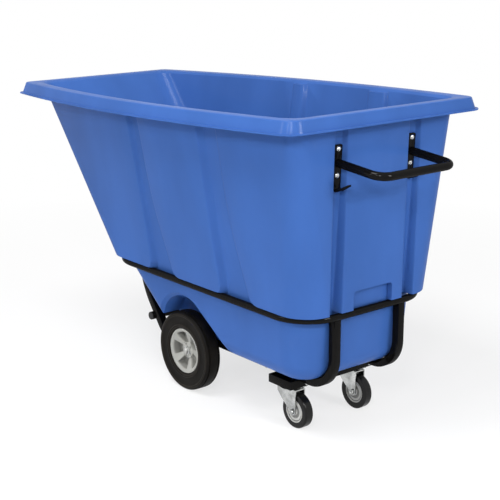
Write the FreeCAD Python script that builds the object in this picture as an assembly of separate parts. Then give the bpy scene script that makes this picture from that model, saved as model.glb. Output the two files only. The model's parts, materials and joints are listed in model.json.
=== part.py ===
import FreeCAD, Part
import math
import os
from FreeCAD import Vector as V

# A tilt truck: a moulded hopper held in a bent tube frame, two large wheels on
# a through axle, two swivel casters at the rear and a push handle.
# Lengths are millimetres. While it is built, x = 0 is the main axle, +x points
# to the push handle, y = 0 is the middle plane and z = 0 is the floor.

# Fits shared by all the pieces
overrun = 40.0                 # how far a cutter reaches past what it cuts
seat_gap = 0.3                 # between a piece and the seat that carries it
weld_gap = 0.1                 # between pieces that are welded or clamped together
running_gap = 0.05             # radial clearance of a turning fit
hole_gap = 0.4                 # radial clearance of a bolt in its hole
side_gap = 0.4                 # end float of a turning piece

# Main wheels and axle
wheel_d = 305.0
tyre_width = 66.0
tyre_seat_r = 86.0
tyre_shoulder_r = 13.0
tyre_tread_groove = 5.0
tyre_tread_groove_inset = 13.0
tyre_sidewall_step = 2.5
tyre_sidewall_inner_r = 101.0
tyre_sidewall_outer_r = 137.0
hub_ring_t = 9.0
hub_ring_width = 54.0
hub_boss_r = 30.0
hub_boss_recess = 16.0         # boss face behind the ring face
hub_boss_proud = 4.0           # boss face beyond the spokes' inner ends
hub_spoke_recess = 3.0         # the spokes' outer ends behind the ring face
hub_back_t = 7.0
hub_back_recess = 11.0         # back plate behind the ring's inner face
hub_pocket_inner_r = 36.0
hub_pocket_outer_r = 74.0
hub_pocket_gap_inner = 17.0    # spoke width at the boss
hub_pocket_gap_outer = 34.0    # spoke width at the ring
hub_pocket_turn = -20.0        # degrees from upright to the first pocket
hub_spokes = 5
hub_edge_r = 3.0
hub_pocket_r = 5.0
hub_dimple_d = 9.0
hub_dimple_depth = 6.0
hub_dimple_ring_r = 23.0
wheel_bush_t = 3.0
wheel_bush_length = 20.0
axle_d = 19.0
axle_washer_d = 34.0
axle_washer_t = 4.0
axle_end = 8.0                 # axle beyond the outer washer
axle_chamfer = 2.0
split_pin_d = 4.0
split_pin_length = 28.0
wheel_centre_y = 208.0

# Tube frame
loop_tube_d = 25.4
loop_tube_t = 2.0
loop_half_width = 302.0
loop_rear = 745.0
loop_front = 381.0
loop_bend_r = 140.0
loop_height = 459.0
rail_size = 28.0
rail_t = 2.0
rail_y = 152.0
rail_under = 186.0             # underside of the level run
rail_bend_r = 106.0
rail_front_end = 48.0          # ahead of the axle
leg_x = 735.0
front_leg_top = 374.0          # ahead of the axle, at the loop
front_leg_knee_height = 342.0
front_leg_heel = 229.0         # ahead of the axle
front_leg_knee_r = 330.0
front_leg_heel_r = 60.0
hanger_length = 70.0
hanger_drop = 34.0             # below the axle line
hanger_corner_r = 16.0
tip_bar_d = 32.0
tip_bar_t = 2.5
tip_bar_height = 202.0
tip_bar_overhang = 4.0
plug_head_t = 4.0
plug_depth = 18.0
plug_edge_r = 2.0

# Caster cross member, a tray below the rails
cross_length = 116.0
cross_half_width = 200.0
cross_t = 4.0
caster_height = 156.0

# Casters
caster_x = 511.0
caster_y = 146.0
caster_trail = 35.0
caster_wheel_d = 127.0
caster_wheel_width = 32.0
caster_tread_edge_r = 7.0
caster_hub_r = 42.0
caster_hub_ring_r = 30.0
caster_hub_ring_t = 4.0
caster_hub_dish = 4.0
caster_hub_boss_r = 15.0
caster_plate_length = 100.0
caster_plate_width = 84.0
caster_plate_t = 4.0
caster_plate_corner_r = 8.0
caster_bolt_pitch_x = 78.0
caster_bolt_pitch_y = 62.0
caster_bolt_d = 8.0
caster_race_r = 30.0
caster_race_t = 5.0
caster_race_gap = 2.0          # between the two ball races
caster_ball_d = 7.0
caster_ball_ring_r = 22.0
caster_balls = 16
kingpin_d = 12.0
kingpin_head_d = 20.0
kingpin_head_t = 4.0
fork_base_r = 40.0
fork_t = 4.0
fork_wheel_gap = 3.5
fork_foot_r = 14.0
fork_neck = 22.0               # height of the straight part under the base
fork_front = 46.0              # arm ahead of the swivel
fork_bulge = 4.0               # how far the arm's front edge swells
caster_axle_d = 10.0
caster_bush_t = 3.0

# Hopper
hopper_wall = 7.0
rim_front = 870.0
rim_rear = 769.0
rim_front_half = 306.0
rim_mid_half = 417.0
rim_rear_half = 376.0
rim_front_corner = 70.0
rim_rear_corner = 60.0
rim_inner_r = 14.0             # rounding of the rim's inner edge
ledge_front_corner = 97.0
ledge_rear_corner = 110.0
rim_front_height = 1091.0
rim_rear_height = 1145.0
lip_shelf = 45.0
lip_depth = 44.0
lip_flare = 13.0
lip_flange = 8.0
lip_flange_t = 4.5
lip_edge_r = 6.0
lip_round_steps = 3
lip_front_corner = 28.0
lip_rear_corner = 50.0
groove_depth_top = 18.0
groove_flank = 16.0
groove_edge_r = 12.0
strap_groove_width = 53.0
strap_groove_depth_top = 14.0
strap_groove_flank = 8.0
strap_groove_edge_r = 6.0
leg_clearance = 3.0
front_groove_left = 88.0       # ahead of the axle, at the ledge
front_groove_right = 52.0
front_groove_top_left = 106.0  # ahead of the axle, at the rim
front_groove_top_right = 46.0  # ahead of the axle, at the rim
rear_groove_left = 330.0
rear_groove_right = 490.0
rear_groove_top_left = 314.0
rear_groove_top_right = 402.0
groove_sweep_share = 0.62      # how much of its shift a flank makes by mid height
groove_cap_depth = 30.0        # below the rim, where a block closes each groove behind the lip
panel_foot_small_r = 26.0
panel_foot_large_r = 60.0
recess_half_width = 90.0
recess_height = 66.0
recess_depth = 22.0
recess_corner_r = 12.0
tub_floor_front = 62.0         # ahead of the axle
tub_floor_rear = 700.0
tub_floor_half = 264.0
tub_floor_front_corner = 80.0
tub_floor_rear_corner = 100.0
tub_edge_r = 76.0
arch_r = 150.0
arch_centre_x = 50.0
arch_centre_z = 238.0
arch_tail_x = 325.0            # where the arch's tail meets the floor
arch_front_z = 284.0           # underside of the tub ahead of the wheel
arch_inner_y = 163.0
arch_roof_r = 26.0
arch_flare_size = 12.0
arch_flare_run = 10.0
rim_overshoot_share = 0.04
ledge_overlap_share = 0.06
groove_sections_shares = (-0.1, 0.0, 0.3, 0.65, 1.1)
sharp_edge_angle = 20.0        # degrees between the faces of an edge that gets rounded

# Push handle, its straps and bolts
handle_tube_d = 28.0
handle_tube_t = 2.5
handle_reach = 945.0
handle_bend_r = 45.0
handle_height = 981.0          # where the tube leaves the straps
handle_drop = 19.0
strap_y = 169.0
strap_width = 32.0
strap_t = 6.0
strap_top = 1041.0
strap_bottom = 883.0
strap_corner_r = 6.0
hook_bend_r = 12.0
hook_reach = 62.0
hook_rise = 36.0
hook_tip_width = 9.0
strap_bolt_high = 1027.0
strap_bolt_low = 940.0

# Bolts, nuts and washers
bolt_d = 8.0
dome_head_d = 19.0
dome_head_h = 5.0
nut_width = 13.0
nut_height = 6.5
small_washer_d = 24.0
small_washer_t = 1.6
floor_washer_d = 40.0
floor_washer_t = 3.0
bolt_tail = 3.0                # thread beyond the nut
floor_bolt_front = 385.0
floor_bolt_rear = 600.0
caster_bolt_head_h = 5.5
axle_nut_width = 16.0
axle_nut_height = 8.0

# Sizes that follow from the ones above
wheel_r = wheel_d / 2
loop_r = loop_tube_d / 2
rail_half = rail_size / 2
rail_z = rail_under + rail_half
rail_top = rail_under + rail_size
ledge_z = loop_height + loop_r + seat_gap
tub_floor_z = rail_top + seat_gap
tub_half = loop_half_width - loop_r - seat_gap
tub_front = loop_front - loop_r - seat_gap
tub_rear = leg_x - rail_half - leg_clearance
tub_corner = loop_bend_r - loop_r - seat_gap
groove_depth = loop_half_width + loop_r - tub_half
strap_groove_depth = loop_rear + loop_r - tub_rear
rim_slope = (rim_rear_height - rim_front_height) / (rim_front + rim_rear)
front_rise = rim_front_height - ledge_z
front_lean_share = math.hypot(rim_front - loop_front - loop_r, front_rise) / front_rise
hanger_face = rail_y + rail_half
boss_inner = hanger_face + axle_washer_t + 2 * side_gap
boss_outer = wheel_centre_y + hub_ring_width / 2 - hub_boss_recess
hub_bore_d = axle_d + 2 * wheel_bush_t + 4 * running_gap
axle_half = boss_outer + side_gap + axle_washer_t + axle_end
split_pin_y = axle_half - axle_end / 2
caster_bush_d = caster_axle_d + 2 * caster_bush_t

X_AXIS = V(1, 0, 0)
Y_AXIS = V(0, 1, 0)
Z_AXIS = V(0, 0, 1)


def lerp(low, high, share):
    return low + (high - low) * share


def mirrored(shape):
    """The same piece on the other side of the middle plane."""
    return shape.mirror(V(0, 0, 0), Y_AXIS)


def rod(foot, axis, diameter, length):
    return Part.makeCylinder(diameter / 2, length, foot, axis)


def ring(foot, axis, outer_d, inner_d, length):
    return rod(foot, axis, outer_d, length).cut(rod(foot, axis, inner_d, length))


def block(x0, x1, y0, y1, z0, z1):
    return Part.makeBox(x1 - x0, y1 - y0, z1 - z0, V(x0, y0, z0))


def prism(points, direction):
    """A straight-sided solid from the corners of its foot."""
    return Part.Face(Part.makePolygon(points + points[:1])).extrude(direction)


def hexagon(foot, axis, width, height):
    """A hexagon prism, measured across its flats."""
    corner_r = width / math.sqrt(3)
    turns = [math.radians(60 * i) for i in range(6)]
    corners = [V(corner_r * math.cos(t), corner_r * math.sin(t), 0) for t in turns]
    nut = prism(corners, V(0, 0, height))
    nut.Placement = FreeCAD.Placement(foot, FreeCAD.Rotation(Z_AXIS, axis))
    return nut


def nut_on(foot, axis, width, height, bore):
    return hexagon(foot, axis, width, height).cut(rod(foot, axis, bore, height))


def dome_bolt(seat, axis, length):
    """A round-headed bolt: the head stands on the seat, the shank runs against the axis."""
    ball_r = (dome_head_d ** 2 / 4 + dome_head_h ** 2) / (2 * dome_head_h)
    ball = Part.makeSphere(ball_r, seat - axis * (ball_r - dome_head_h))
    head = ball.common(rod(seat, axis, dome_head_d, dome_head_h))
    return head.fuse(rod(seat - axis * length, axis, bolt_d, length)).removeSplitter()


def bent_path(points, radii):
    """Straight runs joined by tangent arcs, one radius for each inner point."""
    edges = []
    start = points[0]
    for before, at, after, radius in zip(points, points[1:], points[2:], radii):
        back = (before - at).normalize()
        ahead = (after - at).normalize()
        half_angle = back.getAngle(ahead) / 2
        tangent = radius / math.tan(half_angle)
        middle = (back + ahead).normalize()
        arc_in = at + back * tangent
        arc_out = at + ahead * tangent
        arc_mid = at + middle * (radius / math.sin(half_angle) - radius)
        edges.append(Part.LineSegment(start, arc_in).toShape())
        edges.append(Part.Arc(arc_in, arc_mid, arc_out).toShape())
        start = arc_out
    edges.append(Part.LineSegment(start, points[-1]).toShape())
    return Part.Wire(edges)


def path_start(path):
    edge = path.OrderedEdges[0]
    return edge.valueAt(edge.FirstParameter), edge.tangentAt(edge.FirstParameter)


def round_bar(path, diameter):
    """A round section swept along a path."""
    foot, direction = path_start(path)
    section = Part.Wire(Part.makeCircle(diameter / 2, foot, direction))
    return path.makePipeShell([section], True, False)


def flat_bar(path, width, thickness):
    """A rectangle swept along a path in a plane of constant y; width lies along y."""
    foot, direction = path_start(path)
    across = direction.cross(Y_AXIS).normalize() * (thickness / 2)
    aside = Y_AXIS * (width / 2)
    corners = [foot + across + aside, foot - across + aside,
               foot - across - aside, foot + across - aside]
    return path.makePipeShell([Part.makePolygon(corners + corners[:1])], True, False)


def nearest_edges(shape, points):
    """The edge of a shape that runs closest to each point."""
    marks = [Part.Vertex(p) for p in points]
    return [min(shape.Edges, key=lambda e: e.distToShape(mark)[0]) for mark in marks]


# Outlines of the hopper

def circle_through(a, b, c):
    """Centre and radius of the circle through three points of the plane."""
    bx, by = b[0] - a[0], b[1] - a[1]
    cx, cy = c[0] - a[0], c[1] - a[1]
    twice_area = 2 * (bx * cy - by * cx)
    ux = (cy * (bx ** 2 + by ** 2) - by * (cx ** 2 + cy ** 2)) / twice_area
    uy = (bx * (cx ** 2 + cy ** 2) - cx * (bx ** 2 + by ** 2)) / twice_area
    return a[0] + ux, a[1] + uy, math.hypot(ux, uy)


def outline(front, rear, halves, corners, level):
    """A closed outline: straight ends, straight or bowed sides and round corners.

    halves are the half widths at the front, middle and rear, corners the radii
    at the front and rear, and level gives the height above each x.
    """
    half_front, half_mid, half_rear = halves
    middle = (rear - front) / 2
    bowed = half_mid > max(half_front, half_rear)
    if bowed:
        cx, cy, bow_r = circle_through((-front, half_front), (middle, half_mid), (rear, half_rear))

    def corner(x_end, radius, way):
        fx = x_end - way * radius
        if bowed:
            fy = cy + math.sqrt((bow_r - radius) ** 2 - (fx - cx) ** 2)
            dx, dy = (fx - cx) / (bow_r - radius), (fy - cy) / (bow_r - radius)
        else:
            fy = half_mid - radius
            dx, dy = 0, 1
        length = math.hypot(dx + way, dy)
        mid = (fx + radius * (dx + way) / length, fy + radius * dy / length)
        return (x_end, fy), mid, (fx + radius * dx, fy + radius * dy)

    rear_end, rear_mid, rear_side = corner(rear, corners[1], 1)
    front_end, front_mid, front_side = corner(-front, corners[0], -1)

    def at(point, side):
        return V(point[0], side * point[1], level(point[0]))

    def line(a, a_side, b, b_side):
        return Part.LineSegment(at(a, a_side), at(b, b_side)).toShape()

    def arc(a, b, c, side):
        return Part.Arc(at(a, side), at(b, side), at(c, side)).toShape()

    def long_side(side):
        if bowed:
            return arc(rear_side, (middle, half_mid), front_side, side)
        return line(rear_side, side, front_side, side)

    return Part.Wire([
        line(rear_end, -1, rear_end, 1),
        arc(rear_end, rear_mid, rear_side, 1),
        long_side(1),
        arc(front_side, front_mid, front_end, 1),
        line(front_end, 1, front_end, -1),
        arc(front_end, front_mid, front_side, -1),
        long_side(-1),
        arc(rear_side, rear_mid, rear_end, -1),
    ])


def rim_z(x):
    """Height of the rim's top, which rises a little towards the handle."""
    return rim_rear_height - (rim_rear - x) * rim_slope


def wall_z(x, share):
    """Height at a share of the way from the ledge to the rim."""
    return lerp(ledge_z, rim_z(x), share)


def panel_rear(share):
    return lerp(loop_rear + loop_r, rim_rear, share)


def rim_half(x):
    middle = (rim_rear - rim_front) / 2
    cx, cy, bow_r = circle_through((-rim_front, rim_front_half), (middle, rim_mid_half),
                                   (rim_rear, rim_rear_half))
    return cy + math.sqrt(bow_r ** 2 - (x - cx) ** 2)


def panel_half(x, share):
    return lerp(loop_half_width + loop_r, rim_half(x), share)


def panel_outline(share, inset):
    """The hopper's wall at a share of its height, moved inwards by an inset."""
    foot = loop_half_width + loop_r
    halves = [lerp(foot, top, share) - inset
              for top in (rim_front_half, rim_mid_half, rim_rear_half)]
    corners = [lerp(ledge_front_corner, rim_front_corner, share) - inset,
               lerp(ledge_rear_corner, rim_rear_corner, share) - inset]
    front = lerp(loop_front + loop_r, rim_front, share) - inset * front_lean_share
    return outline(front, panel_rear(share) - inset, halves, corners, lambda x: wall_z(x, share))


def lip_outline(reach, drop):
    """The turned-over lip, reach outside the wall and drop below the rim."""
    halves = [half + reach for half in (rim_front_half, rim_mid_half, rim_rear_half)]
    corners = [corner + reach - lip_shelf for corner in (lip_front_corner, lip_rear_corner)]
    return outline(rim_front + reach, rim_rear + reach, halves, corners, lambda x: rim_z(x) - drop)


def tub_outline(share, inset):
    """The lower tub between its floor (0) and the ledge (1)."""
    half = lerp(tub_floor_half, tub_half, share) - inset
    corners = [lerp(tub_floor_front_corner, tub_corner, share) - inset,
               lerp(tub_floor_rear_corner, tub_corner, share) - inset]
    front = lerp(tub_floor_front, tub_front, share) - inset * front_lean_share
    rear = lerp(tub_floor_rear, tub_rear, share) - inset
    height = lerp(tub_floor_z, ledge_z, share)
    return outline(front, rear, [half] * 3, corners, lambda x: height)


def loft(sections, straight=True):
    return Part.makeLoft(sections, True, straight)


# Grooves between the hopper's panels

def flank_x(low, high, share):
    """A groove flank: it makes most of its shift in the lower half."""
    eased = share if share <= 0 or share >= 1 else share ** groove_sweep_share
    return lerp(low, high, eased)


def rounded_floor(cutter, outward, radius):
    """A groove cutter with both edges of its floor rounded."""
    uprights = [edge for edge in cutter.Edges if edge.BoundBox.ZLength > front_rise / 2]
    uprights.sort(key=lambda edge: edge.BoundBox.Center.dot(outward))
    return cutter.makeFillet(radius, uprights[:2])


def side_groove(low_left, low_right, top_left, top_right, grow):
    """A cutter for one upright groove in the +y side; grow gives the wall behind it."""
    sections = []
    for share in groove_sections_shares:
        left = flank_x(low_left, top_left, share) - grow
        right = flank_x(low_right, top_right, share) + grow
        depth = lerp(groove_depth, groove_depth_top, share)
        face = panel_half((left + right) / 2, share)
        floor = face - depth - grow
        spread = groove_flank * overrun / depth
        corners = [(left - spread, face + overrun), (left + groove_flank, floor),
                   (right - groove_flank, floor), (right + spread, face + overrun)]
        points = [V(x, y, wall_z(x, share)) for x, y in corners]
        sections.append(Part.makePolygon(points + points[:1]))
    return rounded_floor(loft(sections, straight=False), Y_AXIS, groove_edge_r + grow)


def strap_groove(grow):
    """A cutter for the rear groove that takes one handle strap."""
    sections = []
    for share in (groove_sections_shares[0], groove_sections_shares[-1]):
        depth = lerp(strap_groove_depth, strap_groove_depth_top, share)
        face = panel_rear(share)
        floor = face - depth - grow
        half = strap_groove_width / 2 + grow
        spread = strap_groove_flank * overrun / depth
        corners = [(face + overrun, -half - spread), (floor, -half + strap_groove_flank),
                   (floor, half - strap_groove_flank), (face + overrun, half + spread)]
        points = [V(x, strap_y + y, wall_z(x, share)) for x, y in corners]
        sections.append(Part.makePolygon(points + points[:1]))
    return rounded_floor(loft(sections), X_AXIS, strap_groove_edge_r + grow)


def side_grooves(grow):
    front = side_groove(-front_groove_left, front_groove_right,
                        -front_groove_top_left, -front_groove_top_right, grow)
    rear = side_groove(rear_groove_left, rear_groove_right,
                       rear_groove_top_left, rear_groove_top_right, grow)
    return [front, rear]


def groove_caps():
    """Blocks that close the grooves' upper ends behind the lip."""
    inset = hopper_wall / 4
    band = loft([panel_outline(1 - groove_cap_depth / front_rise, inset),
                 panel_outline(1 - hopper_wall / 2 / front_rise, inset)])
    one_side = side_grooves(hopper_wall / 2) + [strap_groove(hopper_wall / 2)]
    return [band.common(cutter) for cutter in one_side + [mirrored(cutter) for cutter in one_side]]


def groove_edges(shape, y_from, y_to):
    """The sharp upright edges whose middles lie in a band of y on either side."""
    found = []
    for edge in shape.Edges:
        faces = shape.ancestorsOfType(edge, Part.Face)
        middle = edge.valueAt((edge.FirstParameter + edge.LastParameter) / 2)
        normals = [face.normalAt(*face.Surface.parameter(middle)) for face in faces]
        upright = edge.BoundBox.ZLength > front_rise / 2
        if not upright or len(normals) < 2 or not y_from < abs(middle.y) < y_to:
            continue
        if normals[0].getAngle(normals[1]) > math.radians(sharp_edge_angle):
            found.append(edge)
    return found


def grooved(body, grow):
    """A hopper body with its grooves cut, and the panels' edges beside them rounded."""
    one_side = side_grooves(grow) + [strap_groove(grow)]
    body = body.cut(one_side + [mirrored(cutter) for cutter in one_side])
    between = strap_y + strap_groove_width
    body = body.makeFillet(groove_edge_r - grow, groove_edges(body, between, rim_mid_half))
    strap_r = max(strap_groove_edge_r - grow, hopper_wall / 2)
    return body.makeFillet(strap_r, groove_edges(body, 0, between))


# The hopper's lower tub and its wheel arches

def arch_wire(y, grow):
    """The wheel arch's outline at one y: a round roof and a tail that falls to the floor."""
    tail = V(arch_tail_x, 0, tub_floor_z) - V(arch_centre_x, 0, arch_centre_z)
    lean = math.atan2(tail.z, tail.x) + math.acos(arch_r / tail.Length)
    normal = V(math.cos(lean), 0, math.sin(lean))
    slope = V(normal.z, 0, -normal.x)
    centre = V(arch_centre_x, y, arch_centre_z)
    radius = arch_r + grow
    touch = centre + normal * radius
    roof = centre + Z_AXIS * radius
    left = centre - X_AXIS * radius
    below = tub_floor_z - tub_edge_r - overrun
    tail_end = touch + slope * ((touch.z - below) / -slope.z)
    left_end = V(left.x, y, below)
    return Part.Wire([
        Part.LineSegment(left_end, left).toShape(),
        Part.Arc(left, roof, touch).toShape(),
        Part.LineSegment(touch, tail_end).toShape(),
        Part.LineSegment(tail_end, left_end).toShape(),
    ])


def wheel_arch(grow):
    """A cutter for the +y wheel arch, with a rounded roof edge inside."""
    y_inner = arch_inner_y - grow
    wire = arch_wire(y_inner, grow)
    cutter = Part.Face(wire).extrude(V(0, tub_half - y_inner + overrun, 0))
    marks = [edge.valueAt((edge.FirstParameter + edge.LastParameter) / 2)
             for edge in wire.OrderedEdges[:3]]
    cutter = cutter.makeFillet(arch_roof_r + grow, nearest_edges(cutter, marks))
    below = tub_floor_z - tub_edge_r - overrun
    ahead = block(-arch_r - overrun, arch_centre_x - arch_r / 2, y_inner, tub_half + overrun,
                  below, arch_front_z + grow)
    return cutter.fuse(ahead)


def arch_flare(size):
    """A cutter that opens the arch's outer edge; it leans with the tub's side."""
    inner = arch_wire(tub_half - size - arch_flare_run, -arch_flare_run)
    outer = arch_wire(tub_half + arch_flare_run, size + arch_flare_run)
    cutter = loft([inner, outer])
    lean = math.degrees(math.atan2(tub_half - tub_floor_half, ledge_z - tub_floor_z))
    cutter.rotate(V(0, tub_half, ledge_z), X_AXIS, -lean)
    return cutter


def tub(inset):
    """The part of the hopper below the ledge, or with an inset the space inside it."""
    low_share = inset / (ledge_z - tub_floor_z)
    top_share = 1 + ledge_overlap_share if inset else 1
    body = loft([tub_outline(low_share, inset), tub_outline(top_share, inset)])
    floor_z = tub_floor_z + inset
    floor_edges = [e for e in body.Edges if e.BoundBox.ZMax < floor_z + seat_gap]
    body = body.makeFillet(tub_edge_r - inset, floor_edges)
    arches = [wheel_arch(inset), arch_flare(arch_flare_size + inset * math.sqrt(2))]
    return body.cut(arches + [mirrored(arch) for arch in arches])


def panel_feet(grow):
    """Cutters that round the lower corners of the side panels."""
    corners = [(-front_groove_left, -front_groove_top_left, -1, panel_foot_small_r),
               (front_groove_right, -front_groove_top_right, 1, panel_foot_large_r),
               (rear_groove_left, rear_groove_top_left, -1, panel_foot_small_r),
               (rear_groove_right, rear_groove_top_right, 1, panel_foot_large_r)]
    cutters = []
    depth = V(0, groove_depth + groove_depth / 2, 0)
    for low, top, way, radius in corners:
        x = flank_x(low, top, radius / front_rise)
        foot = V(x - way * groove_flank, tub_half + seat_gap - grow, ledge_z)
        out = X_AXIS * (way * (radius + groove_flank))
        up = Z_AXIS * radius
        square = prism([foot, foot + out, foot + out + up, foot + up], depth)
        inner_r = radius + groove_flank - grow
        outer_r = inner_r - groove_flank * depth.y / groove_depth
        cutters.append(square.cut(Part.makeCone(inner_r, outer_r, depth.y, foot + out + up, Y_AXIS)))
    return cutters + [mirrored(cutter) for cutter in cutters]


def rear_recess(grow):
    """A cutter for the shallow recess at the foot of the rear panel."""
    face = panel_rear(0)
    half = recess_half_width + grow
    top = ledge_z + recess_height + grow
    cutter = block(face - recess_depth - grow, face + overrun, -half, half, ledge_z - overrun, top)
    upper = [e for e in cutter.Edges
             if e.BoundBox.ZMin > top - seat_gap and e.BoundBox.YLength < seat_gap]
    return cutter.makeFillet(recess_corner_r, upper)


def lip():
    """The turned-over lip: a shelf with a rounded edge, a flared skirt and a narrow flange."""
    skirt_reach = lip_shelf + lip_flare
    flange_reach = skirt_reach + lip_flange
    sections = [lip_outline(skirt_reach, lip_depth)]
    for i in range(lip_round_steps + 1):
        turn = math.pi / 2 * i / lip_round_steps
        inset = lip_edge_r * (1 - math.cos(turn))
        sections.append(lip_outline(lip_shelf - inset, lip_edge_r * (1 - math.sin(turn))))
    flange = loft([lip_outline(flange_reach, lip_depth),
                   lip_outline(flange_reach, lip_depth - lip_flange_t)])
    hollow = loft([lip_outline(skirt_reach - hopper_wall, lip_depth),
                   lip_outline(lip_shelf - hopper_wall, hopper_wall)])
    return loft(sections).fuse(flange).cut(hollow)


def rim_opening():
    """A cutter that rounds the rim's inner edge, in line with the wall's inner face."""
    sections = [panel_outline(1 - rim_inner_r / front_rise, hopper_wall + hopper_wall / 2)]
    for i in range(1, lip_round_steps + 1):
        turn = math.pi / 2 * i / lip_round_steps
        share = 1 - rim_inner_r * (1 - math.sin(turn)) / front_rise
        sections.append(panel_outline(share, hopper_wall - rim_inner_r * (1 - math.cos(turn))))
    sections.append(panel_outline(1 + rim_overshoot_share, hopper_wall - rim_inner_r))
    return loft(sections)


def make_hopper():
    panels = loft([panel_outline(0, 0), panel_outline(1, 0)])
    panels = grooved(panels, 0).cut(panel_feet(0) + [rear_recess(0)])
    low_share = hopper_wall / front_rise
    void = loft([panel_outline(low_share, hopper_wall),
                 panel_outline(1 + rim_overshoot_share, hopper_wall)])
    void = grooved(void, hopper_wall).cut(panel_feet(hopper_wall) + [rear_recess(hopper_wall)])
    body = lip().fuse([panels, tub(0)] + groove_caps())
    return body.cut([void, rim_opening(), tub(hopper_wall)])


# Places that several pieces share

def strap_axes():
    """Foot of the +y strap on the groove floor, the way up it and the way out of it."""
    low = V(tub_rear, 0, ledge_z)
    high_x = rim_rear - strap_groove_depth_top
    high = V(high_x, 0, rim_z(high_x))
    up = (high - low).normalize()
    foot = low + up * ((strap_bottom - low.z) / up.z)
    return foot, up, V(up.z, 0, -up.x)


strap_foot, strap_up, strap_out = strap_axes()


def on_strap(height, out, y=0):
    """A point at a height above the floor and a distance out from the groove floor."""
    along = strap_up * ((height - strap_bottom) / strap_up.z)
    return strap_foot + along + strap_out * out + Y_AXIS * y


def strap_bolt_places(out):
    return [on_strap(height, out, y)
            for height in (strap_bolt_high, strap_bolt_low) for y in (-strap_y, strap_y)]


def floor_bolt_places(z):
    return [V(x, y, z) for x in (floor_bolt_front, floor_bolt_rear) for y in (-rail_y, rail_y)]


def caster_bolt_places(z):
    places = []
    for x in (caster_x - caster_bolt_pitch_x / 2, caster_x + caster_bolt_pitch_x / 2):
        for y in (caster_y - caster_bolt_pitch_y / 2, caster_y + caster_bolt_pitch_y / 2):
            places += [V(x, y, z), V(x, -y, z)]
    return places


# The tube frame

def frame_loop():
    path = outline(loop_front, loop_rear, [loop_half_width] * 3, [loop_bend_r] * 2,
                   lambda x: loop_height)
    return round_bar(path, loop_tube_d).cut(round_bar(path, loop_tube_d - 2 * loop_tube_t))


def loop_bed(x):
    """A cutter that hollows a leg's upper end to sit against the loop at one x."""
    foot = V(x, rail_y - rail_size, loop_height)
    return rod(foot, Y_AXIS, loop_tube_d + 2 * weld_gap, 2 * rail_size)


def square_tube(path):
    inner = rail_size - 2 * rail_t
    return flat_bar(path, rail_size, rail_size).cut(flat_bar(path, inner, inner))


def rail():
    """The +y rail: level under the tub, then bent up into the rear leg."""
    front = V(-rail_front_end, rail_y, rail_z)
    corner = V(leg_x, rail_y, rail_z)
    path = bent_path([front, corner, V(leg_x, rail_y, loop_height)], [rail_bend_r])
    hole_d = bolt_d + 2 * hole_gap
    holes = [rod(V(x, rail_y, rail_under - rail_t), Z_AXIS, hole_d, rail_size + 2 * rail_t)
             for x in (floor_bolt_front, floor_bolt_rear)]
    return square_tube(path).cut([loop_bed(loop_rear)] + holes)


front_knee = V(-front_leg_top, rail_y, front_leg_knee_height)
front_heel = V(-front_leg_heel, rail_y, wheel_r)


def front_leg():
    """The +y front leg: down from the loop, back under the tub and into the axle hanger."""
    start = V(-front_leg_top, rail_y, loop_height)
    end = V(-hanger_length / 2 - weld_gap, rail_y, wheel_r)
    path = bent_path([start, front_knee, front_heel, end], [front_leg_knee_r, front_leg_heel_r])
    return square_tube(path).cut(loop_bed(-loop_front))


def axle_hanger():
    """The block under the +y rail that carries the axle."""
    half = hanger_length / 2
    body = block(-half, half, rail_y - rail_half, rail_y + rail_half,
                 wheel_r - hanger_drop, rail_under - weld_gap)
    low = [e for e in body.Edges if e.BoundBox.ZMax < wheel_r and e.BoundBox.XLength < weld_gap]
    body = body.makeFillet(hanger_corner_r, low)
    return body.cut(rod(V(0, 0, wheel_r), Y_AXIS, axle_d + 2 * running_gap, rail_y + rail_size))


def tip_bar_centre():
    """The bar touches the front face of both sloping legs."""
    along = (front_heel - front_knee).normalize()
    outward = V(along.z, 0, -along.x)
    offset = rail_half + tip_bar_d / 2 + weld_gap
    drop = (tip_bar_height - outward.z * offset - front_knee.z) / along.z
    centre = front_knee + along * drop + outward * offset
    return V(centre.x, 0, centre.z)


tip_bar_mid = tip_bar_centre()
tip_bar_half = rail_y + rail_half + tip_bar_overhang


def tip_bar():
    foot = tip_bar_mid - Y_AXIS * tip_bar_half
    return ring(foot, Y_AXIS, tip_bar_d, tip_bar_d - 2 * tip_bar_t, 2 * tip_bar_half)


def tip_bar_plug():
    """The end plug of the tipping bar on the +y side."""
    end = tip_bar_mid + Y_AXIS * (tip_bar_half + weld_gap)
    head = rod(end, Y_AXIS, tip_bar_d, plug_head_t)
    head = head.makeFillet(plug_edge_r, nearest_edges(head, [end + Y_AXIS * (plug_head_t + overrun)]))
    stem_d = tip_bar_d - 2 * tip_bar_t - 2 * weld_gap
    return head.fuse(rod(end - Y_AXIS * plug_depth, Y_AXIS, stem_d, plug_depth))


def rail_cap():
    """The plug in the +y rail's open front end."""
    x = -rail_front_end - weld_gap
    inner = rail_half - rail_t - weld_gap
    head = block(x - plug_head_t, x, rail_y - rail_half, rail_y + rail_half, rail_under, rail_top)
    head = head.makeFillet(plug_edge_r, [e for e in head.Edges if e.BoundBox.XMax < x - weld_gap])
    stem = block(x, x + plug_depth, rail_y - inner, rail_y + inner, rail_z - inner, rail_z + inner)
    return head.fuse(stem)


def caster_cross_member():
    """A tray across both rails, open at the top and with closed ends."""
    x0 = caster_x - cross_length / 2
    x1 = caster_x + cross_length / 2
    top = rail_under - weld_gap
    body = block(x0, x1, -cross_half_width, cross_half_width, caster_height, top)
    inner_half = cross_half_width - cross_t
    space = block(x0 + cross_t, x1 - cross_t, -inner_half, inner_half,
                  caster_height + cross_t, top + overrun)
    holes = [rod(place, Z_AXIS, caster_bolt_d + 2 * hole_gap, 3 * cross_t)
             for place in caster_bolt_places(caster_height - cross_t)]
    return body.cut([space] + holes)


# Main wheels

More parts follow.
